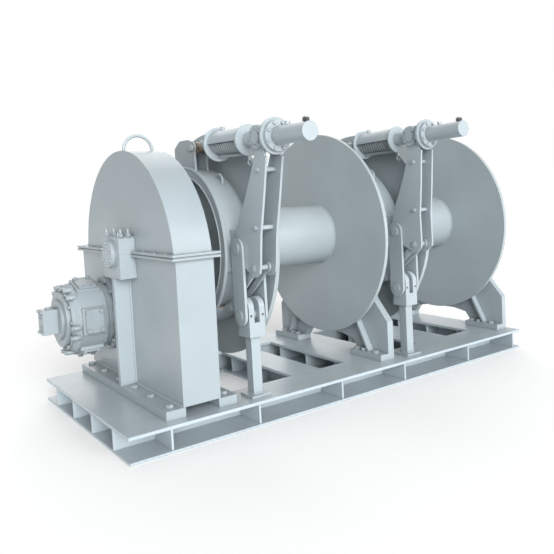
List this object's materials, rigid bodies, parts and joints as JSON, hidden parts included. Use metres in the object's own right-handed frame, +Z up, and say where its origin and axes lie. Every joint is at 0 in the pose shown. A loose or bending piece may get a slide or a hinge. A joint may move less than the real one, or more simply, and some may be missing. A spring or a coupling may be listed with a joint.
{
  "type": "double drum mooring winch",
  "caption": "Mooring winch with drums loose on one geared shaft, clutches, hydraulic motor, and lever band brakes applied by springs and released by oil.",
  "frame": {"origin": "underside of the base, under the middle cross beam, in the middle of the base's width", "axes": "+X along the drum shaft away from the motor, +Y towards the back, +Z up"},
  "size_m": [3.215, 2.0274, 1.6841],
  "materials": {
    "paint": "glossy light blue-grey marine paint over steel",
    "bolts": "overpainted bolts and cylinder barrels",
    "steel": "machined steel, lightly greased",
    "bronze": "bronze bushes",
    "lining": "woven brake lining"
  },
  "bodies": {
    "frame": {"base_girders": "paint", "base_deck": "paint", "base_cross_beams": "paint", "casing_lower": "paint", "casing_upper": "paint", "casing_bolts": "bolts", "lifting_bow": "paint", "bearing_block": "paint", "bearing_cap": "paint", "bearing_end_cover": "paint", "frame_bolts": "bolts", "shaft_bushes": "bronze", "motor_flange": "paint", "motor_housing": "paint", "motor_cover": "paint", "motor_distributor": "paint", "motor_bolts": "bolts", "pedestal_mid": "paint", "pedestal_end": "paint", "pedestal_caps": "paint", "brake_post_1": "paint", "brake_post_2": "paint", "brake_links_1": "paint", "brake_links_2": "paint", "brake_pins_1": "steel", "brake_pins_2": "steel", "band_upper_1": "paint", "band_upper_2": "paint", "lining_upper_1": "lining", "lining_upper_2": "lining"},
    "shaft": {"main_shaft": "steel", "main_gear": "steel"},
    "pinion": {"pinion": "steel"},
    "drum_1": {"drum_barrel_1": "paint", "drum_flanges_1": "paint", "brake_wheel_1": "paint", "drum_bushes_1": "bronze"},
    "clutch_1": {"clutch_sleeve_1": "steel"},
    "lever_1": {"brake_lever_1": "paint"},
    "cylinder_1": {"spring_cage_1": "paint", "brake_cylinder_1": "bolts", "brake_spring_1": "steel"},
    "rod_1": {"brake_rod_1": "steel"},
    "tie_1": {"tie_bar_1": "paint"},
    "band_1": {"band_lower_1": "paint", "lining_lower_1": "lining"},
    "drum_2": {"drum_barrel_2": "paint", "drum_flanges_2": "paint", "brake_wheel_2": "paint", "drum_bushes_2": "bronze"},
    "clutch_2": {"clutch_sleeve_2": "steel"},
    "lever_2": {"brake_lever_2": "paint"},
    "cylinder_2": {"spring_cage_2": "paint", "brake_cylinder_2": "bolts", "brake_spring_2": "steel"},
    "rod_2": {"brake_rod_2": "steel"},
    "tie_2": {"tie_bar_2": "paint"},
    "band_2": {"band_lower_2": "paint", "lining_lower_2": "lining"}
  },
  "joints": [
    {"name": "shaft_spin", "type": "hinge", "parent": "frame", "child": "shaft", "pos_m": [0, 0, 0.966], "axis": [1, 0, 0], "continuous": true},
    {"name": "pinion_spin", "type": "hinge", "parent": "frame", "child": "pinion", "pos_m": [0, 0.39111, 0.56521], "axis": [1, 0, 0], "continuous": true},
    {"name": "drum_1_spin", "type": "hinge", "parent": "frame", "child": "drum_1", "pos_m": [-0.988, 0, 0.966], "axis": [1, 0, 0], "continuous": true},
    {"name": "clutch_1_slide", "type": "slide", "parent": "shaft", "child": "clutch_1", "axis": [1, 0, 0], "range_m": [0, 0.027]},
    {"name": "lever_1_swing", "type": "hinge", "parent": "frame", "child": "lever_1", "pos_m": [-0.988, -0.58, 0.975], "axis": [1, 0, 0], "range_deg": [0, 8]},
    {"name": "cylinder_1_swing", "type": "hinge", "parent": "lever_1", "child": "cylinder_1", "pos_m": [-0.988, -0.82164, 1.55906], "axis": [1, 0, 0], "range_deg": [-5.39, 0]},
    {"name": "rod_1_slide", "type": "slide", "parent": "cylinder_1", "child": "rod_1", "axis": [0, 0.9998, 0.0173], "range_m": [0, 0.0806], "deforming": ["brake_spring_1"]},
    {"name": "tie_1_swing", "type": "hinge", "parent": "lever_1", "child": "tie_1", "pos_m": [-0.988, -0.71897, 0.87165], "axis": [1, 0, 0], "range_deg": [-9.53, 0]},
    {"name": "band_1_hinge", "type": "hinge", "parent": "frame", "child": "band_1", "pos_m": [-0.988, 0.505, 0.94], "axis": [1, 0, 0], "range_deg": [0, 1.64]},
    {"name": "drum_2_spin", "type": "hinge", "parent": "frame", "child": "drum_2", "pos_m": [0.237, 0, 0.966], "axis": [1, 0, 0], "continuous": true},
    {"name": "clutch_2_slide", "type": "slide", "parent": "shaft", "child": "clutch_2", "axis": [1, 0, 0], "range_m": [0, 0.027]},
    {"name": "lever_2_swing", "type": "hinge", "parent": "frame", "child": "lever_2", "pos_m": [0.237, -0.58, 0.975], "axis": [1, 0, 0], "range_deg": [0, 8]},
    {"name": "cylinder_2_swing", "type": "hinge", "parent": "lever_2", "child": "cylinder_2", "pos_m": [0.237, -0.738, 1.587], "axis": [1, 0, 0], "range_deg": [-5.73, 0]},
    {"name": "rod_2_slide", "type": "slide", "parent": "cylinder_2", "child": "rod_2", "axis": [0, 0.9997, -0.0226], "range_m": [0, 0.0837], "deforming": ["brake_spring_2"]},
    {"name": "tie_2_swing", "type": "hinge", "parent": "lever_2", "child": "tie_2", "pos_m": [0.237, -0.732, 0.892], "axis": [1, 0, 0], "range_deg": [-9.12, 0]},
    {"name": "band_2_hinge", "type": "hinge", "parent": "frame", "child": "band_2", "pos_m": [0.237, 0.505, 0.94], "axis": [1, 0, 0], "range_deg": [0, 1.62]}
  ],
  "couplings": [
    {"joint": "pinion_spin", "follows": "shaft_spin", "ratio": -5.1538},
    {"joint": "cylinder_1_swing", "follows": "lever_1_swing", "ratio": -0.67141},
    {"joint": "rod_1_slide", "follows": "lever_1_swing", "m_per_rad": 0.57635},
    {"joint": "tie_1_swing", "follows": "lever_1_swing", "ratio": -1.1897},
    {"joint": "band_1_hinge", "follows": "lever_1_swing", "ratio": 0.20297},
    {"joint": "cylinder_2_swing", "follows": "lever_2_swing", "ratio": -0.71383},
    {"joint": "rod_2_slide", "follows": "lever_2_swing", "m_per_rad": 0.59859},
    {"joint": "tie_2_swing", "follows": "lever_2_swing", "ratio": -1.1387},
    {"joint": "band_2_hinge", "follows": "lever_2_swing", "ratio": 0.20123}
  ]
}
